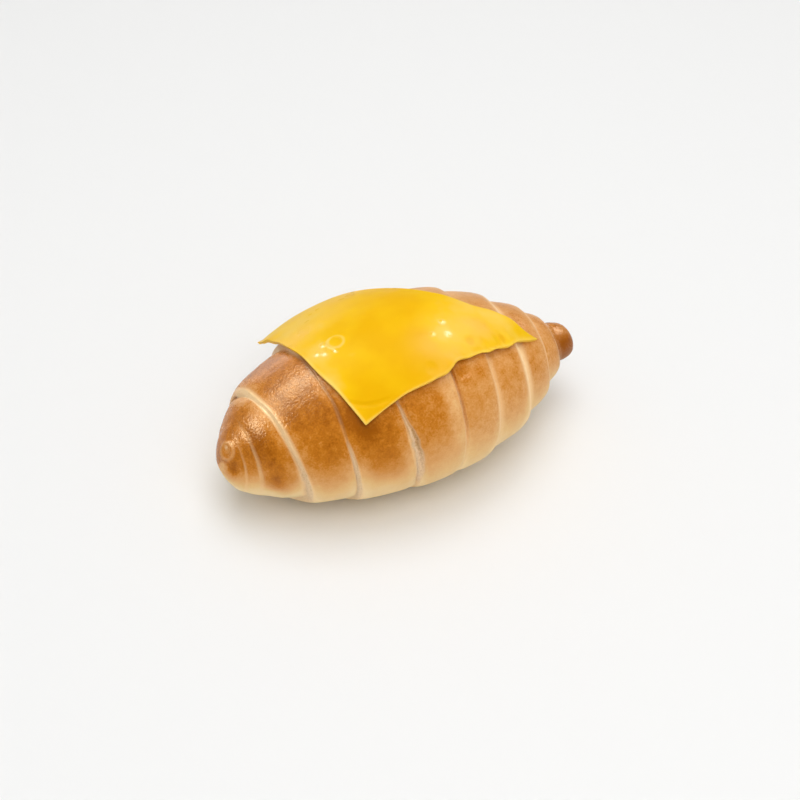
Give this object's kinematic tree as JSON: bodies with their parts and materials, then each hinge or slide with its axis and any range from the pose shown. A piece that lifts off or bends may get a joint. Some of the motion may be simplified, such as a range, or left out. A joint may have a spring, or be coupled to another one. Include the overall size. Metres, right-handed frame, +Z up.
{
  "type": "cheese salt bread roll",
  "caption": "Rolled spindle-shaped bread roll with leaning seams between its bands, a knob at one end and a thin cheese slice draped over its crest; lies on a small flat base.",
  "frame": {"origin": "middle of the roll's length and width, on its flat base", "axes": "+X along the roll to its knob end, -Y the side the slice's front corner hangs over, +Z up"},
  "size_m": [0.151, 0.0903, 0.0644],
  "materials": {
    "crust": "satin browned crust",
    "cheese": "soft satin cheese"
  },
  "bodies": {
    "root": {"bread_roll": "crust", "cheese_slice": "cheese"}
  },
  "joints": []
}
